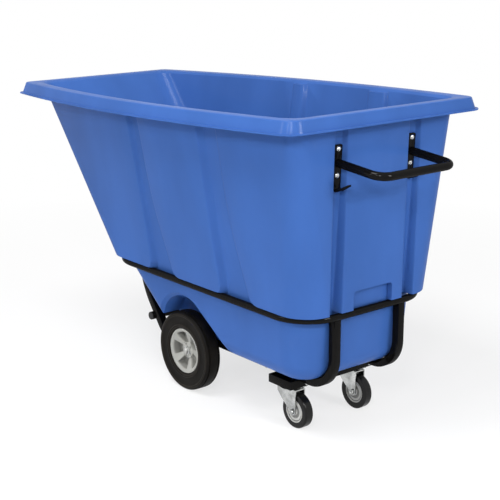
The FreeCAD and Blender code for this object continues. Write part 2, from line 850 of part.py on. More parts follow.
def turned(points, centre):
    """A ring turned about the y direction from its (radius, y) section."""
    corners = [V(centre.x, y, centre.z + radius) for radius, y in points]
    return Part.Face(Part.makePolygon(corners + corners[:1])).revolve(centre, Y_AXIS, 360)


wheel_centre = V(0, wheel_centre_y, wheel_r)


def tyre():
    """The +y tyre: recessed sidewalls, round shoulders and two grooves round the tread."""
    half = tyre_width / 2
    bead = hub_ring_width / 2
    step = tyre_sidewall_step
    waist = half - step
    seat = tyre_seat_r + weld_gap
    side = [(seat, bead), (tyre_sidewall_inner_r - step, half), (tyre_sidewall_inner_r, half),
            (tyre_sidewall_inner_r + step, waist), (tyre_sidewall_outer_r - step, waist),
            (tyre_sidewall_outer_r, half), (wheel_r, half)]
    section = side + [(radius, -y) for radius, y in reversed(side)]
    body = turned([(radius, wheel_centre_y + y) for radius, y in section], wheel_centre)
    marks = [wheel_centre + V(0, way * half, wheel_r) for way in (-1, 1)]
    body = body.makeFillet(tyre_shoulder_r, nearest_edges(body, marks))
    grooves = []
    for way in (-1, 1):
        y = wheel_centre_y + way * (half - tyre_tread_groove_inset) - tyre_tread_groove / 2
        grooves.append(ring(V(0, y, wheel_r), Y_AXIS, wheel_d + overrun, wheel_d - 2 * tyre_tread_groove,
                            tyre_tread_groove))
    return body.cut(grooves)


def hub_pocket():
    """A cutter for one pocket between two spokes, above the axle."""
    half_turn = math.pi / hub_spokes
    inner_half = hub_pocket_inner_r * math.sin(half_turn) - hub_pocket_gap_inner / 2
    outer_half = hub_pocket_outer_r * math.sin(half_turn) - hub_pocket_gap_outer / 2
    low = hub_pocket_inner_r * math.cos(half_turn)
    high = hub_pocket_outer_r * math.cos(half_turn)
    beyond = (outer_half - inner_half) / (high - low) * (hub_pocket_outer_r - high)
    foot = wheel_centre + Y_AXIS * (hub_back_recess + hub_back_t - hub_ring_width / 2)
    corners = [(-inner_half, low), (inner_half, low),
               (outer_half + beyond, hub_pocket_outer_r), (-outer_half - beyond, hub_pocket_outer_r)]
    wedge = prism([foot + V(x, 0, z) for x, z in corners], Y_AXIS * hub_ring_width)
    cutter = wedge.common(rod(foot, Y_AXIS, 2 * hub_pocket_outer_r, hub_ring_width))
    long_edges = [e for e in cutter.Edges if e.BoundBox.YLength > hub_ring_width / 2]
    return cutter.makeFillet(hub_pocket_r, long_edges)


def wheel_hub():
    """The +y hub: a dished face with five pockets, and a recessed boss with five dimples."""
    ring_inner = wheel_centre_y - hub_ring_width / 2
    ring_outer = wheel_centre_y + hub_ring_width / 2
    spoke_rim = ring_outer - hub_spoke_recess
    spoke_root = boss_outer - hub_boss_proud
    back = ring_inner + hub_back_recess
    inner_r = tyre_seat_r - hub_ring_t
    section = [(tyre_seat_r, ring_inner), (tyre_seat_r, ring_outer),
               (inner_r + hub_edge_r, ring_outer), (inner_r, spoke_rim),
               (hub_boss_r + hub_edge_r, spoke_root), (hub_boss_r, spoke_root + hub_edge_r),
               (hub_boss_r, boss_outer), (hub_bore_d / 2, boss_outer), (hub_bore_d / 2, boss_inner),
               (hub_boss_r, boss_inner), (hub_boss_r, back), (inner_r, back), (inner_r, ring_inner)]
    cutters = []
    for i in range(hub_spokes):
        dimple_foot = V(0, boss_outer - hub_dimple_depth, wheel_r + hub_dimple_ring_r)
        dimple = rod(dimple_foot, Y_AXIS, hub_dimple_d, overrun)
        for cutter in (hub_pocket(), dimple):
            cutter.rotate(wheel_centre, Y_AXIS, hub_pocket_turn + 360 * i / hub_spokes)
            cutters.append(cutter)
    return turned(section, wheel_centre).cut(cutters)


def wheel_bearings():
    """Two bushes in the ends of the +y hub's boss."""
    feet = [boss_inner, boss_outer - wheel_bush_length]
    bush_d = hub_bore_d - 2 * running_gap
    bore_d = axle_d + 2 * running_gap
    return [ring(V(0, y, wheel_r), Y_AXIS, bush_d, bore_d, wheel_bush_length) for y in feet]


def axle():
    body = rod(V(0, -axle_half, wheel_r), Y_AXIS, axle_d, 2 * axle_half)
    ends = [e for e in body.Edges if e.BoundBox.YLength < weld_gap]
    body = body.makeChamfer(axle_chamfer, ends)
    foot = V(0, split_pin_y, wheel_r - split_pin_length)
    pin = rod(foot, Z_AXIS, split_pin_d + 2 * weld_gap, 2 * split_pin_length)
    return body.cut([pin, mirrored(pin)])


def axle_washers():
    """The washers on both sides of the +y wheel."""
    feet = [hanger_face + side_gap, boss_outer + side_gap]
    bore_d = axle_d + 2 * hole_gap
    return [ring(V(0, y, wheel_r), Y_AXIS, axle_washer_d, bore_d, axle_washer_t) for y in feet]


def split_pin():
    foot = V(0, split_pin_y, wheel_r - split_pin_length / 2)
    return rod(foot, Z_AXIS, split_pin_d, split_pin_length)


# Casters, built on the +y side

caster_centre = V(caster_x + caster_trail, caster_y, caster_wheel_d / 2)
plate_top = caster_height - weld_gap
plate_under = plate_top - caster_plate_t
race_under = plate_under - caster_race_t
ball_z = race_under - caster_race_gap / 2
fork_top = race_under - caster_race_gap
fork_under = fork_top - fork_t
fork_inner = caster_wheel_width / 2 + fork_wheel_gap


def ball_track():
    """A cutter for the ring-shaped track of the swivel balls."""
    centre = V(caster_x, caster_y, ball_z)
    return Part.makeTorus(caster_ball_ring_r, caster_ball_d / 2 + weld_gap, centre, Z_AXIS)


def caster_plate():
    """The mounting plate with the upper ball race."""
    half_x = caster_plate_length / 2
    half_y = caster_plate_width / 2
    plate = block(caster_x - half_x, caster_x + half_x, caster_y - half_y, caster_y + half_y,
                  plate_under, plate_top)
    uprights = [e for e in plate.Edges if e.BoundBox.ZLength > weld_gap]
    plate = plate.makeFillet(caster_plate_corner_r, uprights)
    race = rod(V(caster_x, caster_y, race_under), Z_AXIS, 2 * caster_race_r, caster_race_t)
    holes = [rod(place, Z_AXIS, caster_bolt_d + 2 * hole_gap, 3 * caster_plate_t)
             for place in caster_bolt_places(plate_under - caster_plate_t)]
    pin_hole = rod(V(caster_x, caster_y, fork_under), Z_AXIS, kingpin_d + 2 * running_gap, plate_top)
    return plate.fuse(race).cut([ball_track(), pin_hole] + holes)


def caster_kingpin():
    """The swivel pin, with a head under the fork."""
    head_top = fork_under - side_gap
    foot = V(caster_x, caster_y, head_top - kingpin_head_t)
    head = rod(foot, Z_AXIS, kingpin_head_d, kingpin_head_t)
    head = head.makeFillet(plug_edge_r, [e for e in head.Edges if e.BoundBox.ZMax < foot.z + weld_gap])
    return head.fuse(rod(foot, Z_AXIS, kingpin_d, plate_top - foot.z))


def caster_swivel_balls():
    balls = []
    for i in range(caster_balls):
        turn = 2 * math.pi * i / caster_balls
        offset = V(math.cos(turn), math.sin(turn), 0) * caster_ball_ring_r
        balls.append(Part.makeSphere(caster_ball_d / 2, V(caster_x, caster_y, ball_z) + offset))
    return balls


def caster_fork():
    """A pressed fork: a round base, and two arms that lean back to the wheel's axle."""
    rear = caster_centre.x + fork_foot_r
    front = caster_x - fork_front
    foot = V(caster_centre.x, caster_y + fork_inner, caster_centre.z)
    foot_front = foot - X_AXIS * fork_foot_r
    shoulder = V(front, foot.y, fork_top - fork_neck)
    waist = (foot_front + shoulder) / 2 - X_AXIS * fork_bulge
    edges = [
        Part.LineSegment(V(front, foot.y, fork_top), V(rear, foot.y, fork_top)).toShape(),
        Part.LineSegment(V(rear, foot.y, fork_top), foot + X_AXIS * fork_foot_r).toShape(),
        Part.Arc(foot + X_AXIS * fork_foot_r, foot - Z_AXIS * fork_foot_r, foot_front).toShape(),
        Part.Arc(foot_front, waist, shoulder).toShape(),
        Part.LineSegment(shoulder, V(front, foot.y, fork_top)).toShape(),
    ]
    arm = Part.Face(Part.Wire(edges)).extrude(V(0, fork_t, 0))
    other = arm.mirror(V(0, caster_y, 0), Y_AXIS)
    half = fork_inner + fork_t
    bridge = block(front, rear, caster_y - half, caster_y + half, fork_under, fork_top)
    base = rod(V(caster_x, caster_y, fork_under), Z_AXIS, 2 * fork_base_r, fork_t)
    pin_foot = V(caster_x, caster_y, fork_under - fork_t)
    pin_hole = rod(pin_foot, Z_AXIS, kingpin_d + 2 * running_gap, 3 * fork_t)
    bolt_foot = caster_centre - Y_AXIS * caster_wheel_d
    bolt_hole = rod(bolt_foot, Y_AXIS, caster_axle_d + 2 * hole_gap, 2 * caster_wheel_d)
    body = base.fuse([bridge, arm, other]).removeSplitter()
    return body.cut([pin_hole, bolt_hole, ball_track()])


fork_outer = fork_inner + fork_t + weld_gap


def caster_axle_bolt():
    head_foot = caster_centre + Y_AXIS * fork_outer
    head = hexagon(head_foot, Y_AXIS, axle_nut_width, axle_nut_height)
    length = 2 * fork_outer + axle_nut_height + bolt_tail
    return head.fuse(rod(head_foot - Y_AXIS * length, Y_AXIS, caster_axle_d, length))


def caster_axle_nut():
    foot = caster_centre - Y_AXIS * (fork_outer + axle_nut_height)
    return nut_on(foot, Y_AXIS, axle_nut_width, axle_nut_height, caster_axle_d + 2 * running_gap)


def caster_bush():
    """The sleeve between the fork arms, on which the wheel turns."""
    half = fork_inner - weld_gap
    foot = caster_centre - Y_AXIS * half
    return ring(foot, Y_AXIS, caster_bush_d, caster_axle_d + 2 * weld_gap, 2 * half)


def caster_hub():
    """The caster wheel's core, with ring-shaped steps on both faces."""
    half = caster_wheel_width / 2
    dish = half - caster_hub_dish
    ridge = half - caster_hub_dish / 2
    ring_in = caster_hub_ring_r - caster_hub_ring_t
    ring_out = caster_hub_ring_r + caster_hub_ring_t
    rim_in = caster_hub_r - caster_hub_ring_t
    boss_half = fork_inner - side_gap
    bore = caster_bush_d / 2 + running_gap
    side = [(bore, boss_half), (caster_hub_boss_r, boss_half), (caster_hub_boss_r, dish),
            (ring_in, dish), (ring_in, ridge), (ring_out, ridge), (ring_out, dish),
            (rim_in, dish), (rim_in, half), (caster_hub_r, half)]
    section = side + [(radius, -y) for radius, y in reversed(side)]
    return turned([(radius, caster_y + y) for radius, y in section], caster_centre)


def caster_tread():
    half = caster_wheel_width / 2
    foot = caster_centre - Y_AXIS * half
    bore_d = 2 * (caster_hub_r + weld_gap)
    body = ring(foot, Y_AXIS, caster_wheel_d, bore_d, caster_wheel_width)
    marks = [caster_centre + V(0, way * half, caster_wheel_d / 2) for way in (-1, 1)]
    return body.makeFillet(caster_tread_edge_r, nearest_edges(body, marks))


# The push handle

def handle_strap():
    """The +y strap: flat in its groove, its lower end bent out into a pointed hook."""
    middle = seat_gap + strap_t / 2
    bend = on_strap(strap_bottom, middle)
    tip = bend + strap_out * hook_reach + strap_up * hook_rise
    path = bent_path([on_strap(strap_top, middle), bend, tip], [hook_bend_r])
    body = flat_bar(path, strap_width, strap_t)
    top_marks = [on_strap(strap_top, middle, way * strap_width / 2) for way in (-1, 1)]
    body = body.makeFillet(strap_corner_r, nearest_edges(body, top_marks))
    foot = bend - strap_up * overrun
    start = hook_bend_r + strap_t
    end = hook_reach + strap_t
    wide = strap_width / 2
    corners = [(start, wide), (end, hook_tip_width / 2), (end, wide + overrun),
               (start, wide + overrun)]
    points = [foot + strap_out * out + Y_AXIS * y for out, y in corners]
    side = prism(points, strap_up * (hook_rise + 2 * overrun))
    holes = [rod(on_strap(height, -strap_t), strap_out, bolt_d + 2 * hole_gap, 3 * strap_t)
             for height in (strap_bolt_high, strap_bolt_low)]
    body = body.cut([side, mirrored(side)] + holes)
    body.translate(V(0, strap_y, 0))
    return body


def push_handle():
    """A bent tube from strap to strap, cut to the slant of the straps."""
    face = seat_gap + strap_t + weld_gap
    ends = [on_strap(handle_height, face - strap_t, y) for y in (-strap_y, strap_y)]
    bar_z = handle_height - handle_drop
    corners = [V(handle_reach, y, bar_z) for y in (-strap_y, strap_y)]
    path = bent_path([ends[0], corners[0], corners[1], ends[1]], [handle_bend_r] * 2)
    tube = round_bar(path, handle_tube_d).cut(round_bar(path, handle_tube_d - 2 * handle_tube_t))
    wide = strap_y + strap_width
    slab = [on_strap(height, face - overrun, y) for height, y in
            ((strap_bottom, -wide), (strap_bottom, wide), (strap_top, wide), (strap_top, -wide))]
    return tube.cut(prism(slab, strap_out * overrun))


# Fasteners, as groups of equal pieces

strap_face = seat_gap + strap_t + weld_gap
strap_inside = -hopper_wall - weld_gap
floor_inside = tub_floor_z + hopper_wall + weld_gap
rail_seat = rail_under - weld_gap


def handle_bolts():
    length = strap_face - strap_inside + small_washer_t + nut_height + bolt_tail
    return [dome_bolt(place, strap_out, length) for place in strap_bolt_places(strap_face)]


def handle_washers():
    out = strap_inside - small_washer_t
    return [ring(place, strap_out, small_washer_d, bolt_d + 2 * running_gap, small_washer_t)
            for place in strap_bolt_places(out)]


def handle_nuts():
    out = strap_inside - small_washer_t - weld_gap - nut_height
    return [nut_on(place, strap_out, nut_width, nut_height, bolt_d + 2 * running_gap)
            for place in strap_bolt_places(out)]


def hopper_bolts():
    seat = floor_inside + floor_washer_t + weld_gap
    length = seat - rail_seat + nut_height + bolt_tail
    return [dome_bolt(place, Z_AXIS, length) for place in floor_bolt_places(seat)]


def hopper_washers():
    return [ring(place, Z_AXIS, floor_washer_d, bolt_d + 2 * running_gap, floor_washer_t)
            for place in floor_bolt_places(floor_inside)]


def hopper_nuts():
    return [nut_on(place, Z_AXIS, nut_width, nut_height, bolt_d + 2 * running_gap)
            for place in floor_bolt_places(rail_seat - nut_height)]


def caster_mount_bolts():
    seat = plate_under - weld_gap
    top = caster_height + cross_t + weld_gap + nut_height + bolt_tail
    bolts = []
    for place in caster_bolt_places(seat):
        head = hexagon(place - Z_AXIS * caster_bolt_head_h, Z_AXIS, nut_width, caster_bolt_head_h)
        bolts.append(head.fuse(rod(place, Z_AXIS, caster_bolt_d, top - seat)))
    return bolts


def caster_mount_nuts():
    return [nut_on(place, Z_AXIS, nut_width, nut_height, caster_bolt_d + 2 * running_gap)
            for place in caster_bolt_places(caster_height + cross_t + weld_gap)]


def drilled_hopper():
    """The hopper with the holes for the strap bolts and the floor bolts."""
    wide = bolt_d + 2 * hole_gap
    holes = [rod(place, strap_out, wide, 2 * overrun) for place in strap_bolt_places(-overrun)]
    holes += [rod(place, Z_AXIS, wide, 2 * overrun) for place in floor_bolt_places(tub_floor_z - overrun)]
    return make_hopper().cut(holes)


# Every node, each written as its own file

part_front = -(rim_front + lip_shelf + lip_flare + lip_flange)
part_rear = handle_reach + handle_tube_d / 2
to_origin = V(-(part_front + part_rear) / 2, 0, 0)


def save(name, pieces):
    """Writes one node: a single piece, or a group of separate ones."""
    shape = Part.makeCompound(pieces) if isinstance(pieces, list) else pieces
    shape.translate(to_origin)
    shape.exportStep("parts/" + name + ".step")


def save_pair(name, pieces):
    """Writes a node for the right side and its mirror image for the left."""
    shape = Part.makeCompound(pieces) if isinstance(pieces, list) else pieces
    save(name + "_left", mirrored(shape))
    save(name + "_right", shape)


def both_sides(pieces):
    return pieces + [mirrored(piece) for piece in pieces]


os.makedirs("parts", exist_ok=True)

save("hopper", drilled_hopper())

save("frame_loop", frame_loop())
save_pair("rail", rail())
save_pair("front_leg", front_leg())
save_pair("axle_hanger", axle_hanger())
save("tip_bar", tip_bar())
save("tip_bar_plugs", both_sides([tip_bar_plug()]))
save("rail_end_caps", both_sides([rail_cap()]))
save("caster_cross_member", caster_cross_member())

save("axle", axle())
save("axle_washers", both_sides(axle_washers()))
save("axle_split_pins", both_sides([split_pin()]))
save_pair("wheel_hub", wheel_hub())
save_pair("tyre", tyre())
save_pair("wheel_bearings", wheel_bearings())

save_pair("caster_plate", caster_plate())
save_pair("caster_kingpin", caster_kingpin())
save_pair("caster_balls", caster_swivel_balls())
save_pair("caster_fork", caster_fork())
save_pair("caster_axle_bolt", caster_axle_bolt())
save_pair("caster_axle_nut", caster_axle_nut())
save_pair("caster_bush", caster_bush())
save_pair("caster_hub", caster_hub())
save_pair("caster_tread", caster_tread())
save("caster_mount_bolts", caster_mount_bolts())
save("caster_mount_nuts", caster_mount_nuts())

save("push_handle", push_handle())
save_pair("handle_strap", handle_strap())
save("handle_bolts", handle_bolts())
save("handle_washers", handle_washers())
save("handle_nuts", handle_nuts())
save("hopper_bolts", hopper_bolts())
save("hopper_washers", hopper_washers())
save("hopper_nuts", hopper_nuts())
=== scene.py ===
"""Tilt truck: finishes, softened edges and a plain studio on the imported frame."""
import json
import logging
import math
from dataclasses import dataclass
from enum import Enum
from typing import Any, ClassVar

import bmesh
import bpy
from mathutils import Euler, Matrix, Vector


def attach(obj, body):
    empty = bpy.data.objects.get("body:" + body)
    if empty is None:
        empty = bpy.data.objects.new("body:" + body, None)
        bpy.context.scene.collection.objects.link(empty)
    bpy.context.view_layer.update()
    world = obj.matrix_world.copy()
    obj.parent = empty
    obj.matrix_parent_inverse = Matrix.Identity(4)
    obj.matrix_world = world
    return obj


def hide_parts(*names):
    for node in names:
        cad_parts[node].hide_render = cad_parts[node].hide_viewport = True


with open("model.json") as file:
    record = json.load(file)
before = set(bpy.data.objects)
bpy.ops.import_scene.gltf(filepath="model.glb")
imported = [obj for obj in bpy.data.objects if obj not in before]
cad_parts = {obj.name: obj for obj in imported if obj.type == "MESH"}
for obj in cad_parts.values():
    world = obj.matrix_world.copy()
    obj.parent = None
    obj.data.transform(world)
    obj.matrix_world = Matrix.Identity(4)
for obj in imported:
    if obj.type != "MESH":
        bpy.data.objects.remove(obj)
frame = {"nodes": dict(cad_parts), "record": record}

LOG = logging.getLogger("tilt_truck")
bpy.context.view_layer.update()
Colour = tuple[float, float, float]
Place = tuple[float, float, float]
Stops = tuple[tuple[float, float], ...]

WHITE = (1.0, 1.0, 1.0)
SIDES = ("left", "right")
BEHAVIOUR = frame["record"]["behaviour"]
BODY_OF = {node: body for body, nodes in BEHAVIOUR["bodies"].items() for node in nodes}
JOINT_AT = {joint["name"]: tuple(joint["pos_m"]) for joint in BEHAVIOUR["joints"]}


# Shader maths

class Sock:
    """A shader socket that takes part in Python arithmetic."""

    def __init__(self, tree: bpy.types.NodeTree, socket: bpy.types.NodeSocket) -> None:
        """Wraps one output socket of a node tree."""
        self.tree = tree
        self.socket = socket

    def _math(self, operation: str, first: "Sock | float", second: "Sock | float") -> "Sock":
        """Adds one Math node.

        Args:
            operation: the Math node's operation.
            first: its first input.
            second: its second input.

        Returns:
            The node's result.
        """
        node = self.tree.nodes.new("ShaderNodeMath")
        node.operation = operation
        for slot, value in zip(node.inputs, (first, second)):
            plug(self.tree, slot, value)
        return Sock(self.tree, node.outputs[0])

    def __add__(self, other: "Sock | float") -> "Sock":
        """Sum."""
        return self._math("ADD", self, other)

    def __radd__(self, other: float) -> "Sock":
        """Sum, reflected."""
        return self._math("ADD", other, self)

    def __sub__(self, other: "Sock | float") -> "Sock":
        """Difference."""
        return self._math("SUBTRACT", self, other)

    def __rsub__(self, other: float) -> "Sock":
        """Difference, reflected."""
        return self._math("SUBTRACT", other, self)

    def __mul__(self, other: "Sock | float") -> "Sock":
        """Product."""
        return self._math("MULTIPLY", self, other)

    def __rmul__(self, other: float) -> "Sock":
        """Product, reflected."""
        return self._math("MULTIPLY", other, self)

    def __abs__(self) -> "Sock":
        """Size without sign."""
        return self._math("ABSOLUTE", self, 0.0)

    def at_most(self, limit: float) -> "Sock":
        """The value, held down to a limit."""
        return self._math("MINIMUM", self, limit)


def plug(tree: bpy.types.NodeTree, slot: bpy.types.NodeSocket, value: Any) -> None:
    """Links something to a node's input, or sets the input to a plain value.

    Args:
        tree: the node tree that holds the input.
        slot: the input.
        value: a Sock, another node's output, or a plain value.
    """
    source = value.socket if isinstance(value, Sock) else value
    if isinstance(source, bpy.types.NodeSocket):
        tree.links.new(source, slot)
    else:
        slot.default_value = source


def rgba(colour: Colour) -> tuple[float, float, float, float]:
    """A colour with full alpha."""
    return (*colour, 1.0)


def tint(colour: Colour, factor: float) -> Colour:
    """A colour made lighter or darker."""
    return tuple(min(channel * factor, 1.0) for channel in colour)


@dataclass(frozen=True)
class Grain:
    """Noise of one scale: features in a metre, octaves, weight of the finer octaves, and scale per axis."""

    per_metre: float
    octaves: float = 4.0
    fineness: float = 0.5
    stretch: Place = (1.0, 1.0, 1.0)


class Graph:
    """A node tree that grows through a single node method."""

    BACKGROUND_RAYS = ("Is Camera Ray", "Is Glossy Ray", "Is Transmission Ray")

    def __init__(self, tree: bpy.types.NodeTree) -> None:
        """Takes a node tree and empties it."""
        self.tree = tree
        self.tree.nodes.clear()

    def node(self, kind: str, settings: dict[str, Any] | None = None,
             sockets: dict[str | int, Any] | None = None) -> bpy.types.Node:
        """Adds a node.

        Args:
            kind: the node's type.
            settings: attributes of the node, set first; "stops" gives a ramp's stops.
            sockets: values or links for the node's inputs, by name or number.

        Returns:
            The new node.
        """
        node = self.tree.nodes.new(kind)
        for key, value in (settings or {}).items():
            if key == "stops":
                self.set_stops(node.color_ramp, value)
            else:
                setattr(node, key, value)
        for key, value in (sockets or {}).items():
            plug(self.tree, node.inputs[key], value)
        return node

    @staticmethod
    def set_stops(ramp: bpy.types.ColorRamp, stops: Stops) -> None:
        """Gives a ramp its stops.

        Args:
            ramp: the ramp.
            stops: pairs of position and grey, one for each of the ramp's two ends.
        """
        for element, (position, grey) in zip(ramp.elements, stops):
            element.position = position
            element.color = rgba((grey, grey, grey))

    def seen_rays(self) -> Sock:
        """1 for the rays that show the background.

        Returns:
            1 for camera, glossy and transmission rays, and 0 for others.
        """
        rays = self.node("ShaderNodeLightPath")
        camera, glossy, transmission = (Sock(self.tree, rays.outputs[name]) for name in self.BACKGROUND_RAYS)
        return (camera + glossy + transmission).at_most(1.0)


class Shader(Graph):
    """One material with a principled shader."""

    # A Mix node's sockets when it mixes colours
    MIX_SHARE, MIX_LOW, MIX_HIGH, MIX_RESULT = 0, 6, 7, 2

    def __init__(self, name: str) -> None:
        """Starts a material.

        Args:
            name: the material's name.
        """
        self.material = bpy.data.materials.new(name)
        self.material.use_nodes = True
        super().__init__(self.material.node_tree)
        self.surface = self.node("ShaderNodeBsdfPrincipled")
        self.output = self.node("ShaderNodeOutputMaterial", sockets={"Surface": self.surface.outputs[0]})
        self.place = Sock(self.tree, self.node("ShaderNodeTexCoord").outputs["Object"])

    def feed(self, socket: str, value: Any) -> None:
        """Sets or links one socket of the principled shader."""
        plug(self.tree, self.surface.inputs[socket], value)

    def noise(self, grain: Grain) -> Sock:
        """Noise over the piece.

        Args:
            grain: the noise's scale and character.

        Returns:
            A value from 0 to 1.
        """
        mapping = self.node("ShaderNodeMapping", sockets={"Vector": self.place, "Scale": grain.stretch})
        node = self.node("ShaderNodeTexNoise", {"noise_dimensions": "3D"},
                         {"Vector": mapping.outputs[0], "Scale": grain.per_metre, "Detail": grain.octaves,
                          "Roughness": grain.fineness})
        return Sock(self.tree, node.outputs["Fac"])

    def split(self) -> list[Sock]:
        """The place's x, y and z."""
        node = self.node("ShaderNodeSeparateXYZ", sockets={0: self.place})
        return [Sock(self.tree, socket) for socket in node.outputs]

    def length(self, vector: Any) -> Sock:
        """The length of a vector."""
        node = self.node("ShaderNodeVectorMath", {"operation": "LENGTH"}, {0: vector})
        return Sock(self.tree, node.outputs["Value"])

    def axle_distance(self, middle: Place) -> Sock:
        """Distance from a wheel's axle, which lies along y.

        Args:
            middle: the wheel's centre.

        Returns:
            The distance in metres.
        """
        x, _, z = self.split()
        flat = self.node("ShaderNodeCombineXYZ", sockets={0: x - middle[0], 1: z - middle[2]})
        return self.length(flat.outputs[0])

    def ramp(self, value: Sock, stops: Stops) -> Sock:
        """A value sent through a grey ramp.

        Args:
            value: what goes in.
            stops: two pairs of position and grey.

        Returns:
            The ramp's grey.
        """
        node = self.node("ShaderNodeValToRGB", {"stops": stops}, {"Fac": value})
        return Sock(self.tree, node.outputs["Color"])

    def blend(self, low: Sock | Colour, high: Sock | Colour, share: Sock) -> Sock:
        """Two colours mixed.

        Args:
            low: colour at share 0.
            high: colour at share 1.
            share: how much of high.

        Returns:
            The mixed colour.
        """
        low, high = (rgba(colour) if isinstance(colour, tuple) else colour for colour in (low, high))
        node = self.node("ShaderNodeMix", {"data_type": "RGBA"},
                         {self.MIX_SHARE: share, self.MIX_LOW: low, self.MIX_HIGH: high})
        return Sock(self.tree, node.outputs[self.MIX_RESULT])

    def bump(self, height: Sock, depth: float) -> None:
        """Feeds a bump to the shader's normal.

        Args:
            height: the relief, 0 to 1.
            depth: its real depth in metres.
        """
        node = self.node("ShaderNodeBump", sockets={"Height": height, "Distance": depth, "Strength": 1.0})
        self.feed("Normal", node.outputs[0])


# Finishes

@dataclass(frozen=True)
class MouldedPlastic:
    """Rotation-moulded or injection-moulded plastic with a fine satin grain."""

    name: str
    colour: Colour
    roughness: float = 0.45
    grain: float = 0.0001
    mottle: float = 0.05
    scuff: float = 0.1
    specular: float = 0.3
    gloss: float = 0.0

    CLOUD: ClassVar[Grain] = Grain(3.4, 3.0, 0.5, (1.5, 1.5, 0.5))
    CLOUD_STOPS: ClassVar[Stops] = ((0.3, 0.0), (0.7, 1.0))
    PATCH: ClassVar[Grain] = Grain(17.0, 4.0, 0.6)
    PATCH_ROUGHNESS: ClassVar[float] = 0.1
    SCUFF: ClassVar[Grain] = Grain(26.0, 8.0, 0.72, (1.0, 1.0, 0.35))
    SCUFF_STOPS: ClassVar[Stops] = ((0.58, 0.0), (0.74, 1.0))
    SCUFF_ROUGHNESS: ClassVar[float] = 0.06
    PALE_SHARE: ClassVar[float] = 0.85
    PALE_LIFT: ClassVar[float] = 0.06
    COAT_ROUGHNESS: ClassVar[float] = 0.15
    SKIN: ClassVar[Grain] = Grain(420.0, 2.0, 0.5)
    SKIN_RELIEF: ClassVar[float] = 0.25
    WAVE: ClassVar[Grain] = Grain(7.0, 2.0, 0.4)
    WAVE_RELIEF: ClassVar[float] = 1.6

    def material(self) -> bpy.types.Material:
        """Builds the material.

        Returns:
            The finished material.
        """
        shader = Shader(self.name)
        cloud = shader.ramp(shader.noise(self.CLOUD), self.CLOUD_STOPS)
        patch = shader.noise(self.PATCH)
        scuffs = shader.ramp(shader.noise(self.SCUFF), self.SCUFF_STOPS)
        base = shader.blend(tint(self.colour, 1.0 - self.mottle), tint(self.colour, 1.0 + self.mottle), cloud)
        pale = tuple(channel * self.PALE_SHARE + self.PALE_LIFT for channel in self.colour)
        base = shader.blend(base, pale, scuffs * patch * self.scuff)
        shader.feed("Base Color", self.shaded(shader, base))
        smooth = self.roughness - self.PATCH_ROUGHNESS / 2.0
        shader.feed("Roughness", smooth + patch * self.PATCH_ROUGHNESS + scuffs * self.SCUFF_ROUGHNESS)
        shader.feed("Specular IOR Level", self.specular)
        shader.feed("Coat Weight", self.gloss)
        shader.feed("Coat Roughness", self.COAT_ROUGHNESS)
        relief = shader.noise(self.SKIN) * self.SKIN_RELIEF + shader.noise(self.WAVE) * self.WAVE_RELIEF
        shader.bump(relief, self.grain)
        return shader.material

    def shaded(self, shader: Shader, base: Sock) -> Sock:
        """The base colour as it is; wheel plastic paints shade into parts of it."""
        return base


@dataclass(frozen=True)
class WheelPlastic(MouldedPlastic):
    """Moulded wheel plastic with painted shade in the hollows of its faces.

    The hollows are what lies deeper than a cone about the axle: hollow is the cone's height at the
    axle, outwards from the wheel's middle, and cone is its rise per metre away from the axle.
    """

    middle: Place = (0.0, 0.0, 0.0)
    hollow: float = 0.0
    cone: float = 0.0
    fade: float = 0.001
    hollow_shade: float = 0.4

    FADE_STOPS: ClassVar[Stops] = ((0.0, 0.0), (1.0, 1.0))

    def shaded(self, shader: Shader, base: Sock) -> Sock:
        """Paints shade into the hollows.

        Args:
            shader: the material.
            base: the colour without painted shade.

        Returns:
            The colour with painted shade in the hollows.
        """
        across = shader.split()[1]
        out = abs(abs(across) - self.middle[1])
        above = out - shader.axle_distance(self.middle) * self.cone - self.hollow
        # Painted shade: deeper than the cone, the colour turns to a dark tint of itself.
        stain_and_shade_free = shader.ramp(above * (1.0 / self.fade), self.FADE_STOPS)
        return shader.blend(tint(self.colour, self.hollow_shade), base, stain_and_shade_free)


@dataclass(frozen=True)
class PowderCoat:
    """Gloss powder coat on steel tube: an orange-peel skin with faint rubs."""

    name: str
    colour: Colour
    roughness: float = 0.26
    peel: float = 0.00002
    gloss: float = 0.18

    PEEL: ClassVar[Grain] = Grain(330.0, 2.0)
    RUB: ClassVar[Grain] = Grain(38.0, 7.0, 0.7)
    RUB_STOPS: ClassVar[Stops] = ((0.56, 0.0), (0.72, 1.0))
    RUB_SHARE: ClassVar[float] = 0.22
    RUB_ROUGHNESS: ClassVar[float] = 0.12
    DUST: ClassVar[Grain] = Grain(9.0, 3.0)
    DUST_SHARE: ClassVar[float] = 0.06
    DUST_ROUGHNESS: ClassVar[float] = 0.08
    DUST_COLOUR: ClassVar[Colour] = (0.02, 0.017, 0.014)
    COAT_ROUGHNESS: ClassVar[float] = 0.04

    def material(self) -> bpy.types.Material:
        """Builds the material.

        Returns:
            The finished material.
        """
        shader = Shader(self.name)
        rub = shader.ramp(shader.noise(self.RUB), self.RUB_STOPS)
        dust = shader.noise(self.DUST)
        worn = rub * self.RUB_SHARE + dust * self.DUST_SHARE
        shader.feed("Base Color", shader.blend(self.colour, self.DUST_COLOUR, worn))
        shader.feed("Roughness", self.roughness + dust * self.DUST_ROUGHNESS + rub * self.RUB_ROUGHNESS)
        shader.feed("Specular IOR Level", 0.0)
        shader.feed("Coat Weight", self.gloss)
        shader.feed("Coat Roughness", self.COAT_ROUGHNESS)
        shader.bump(shader.noise(self.PEEL), self.peel)
        return shader.material


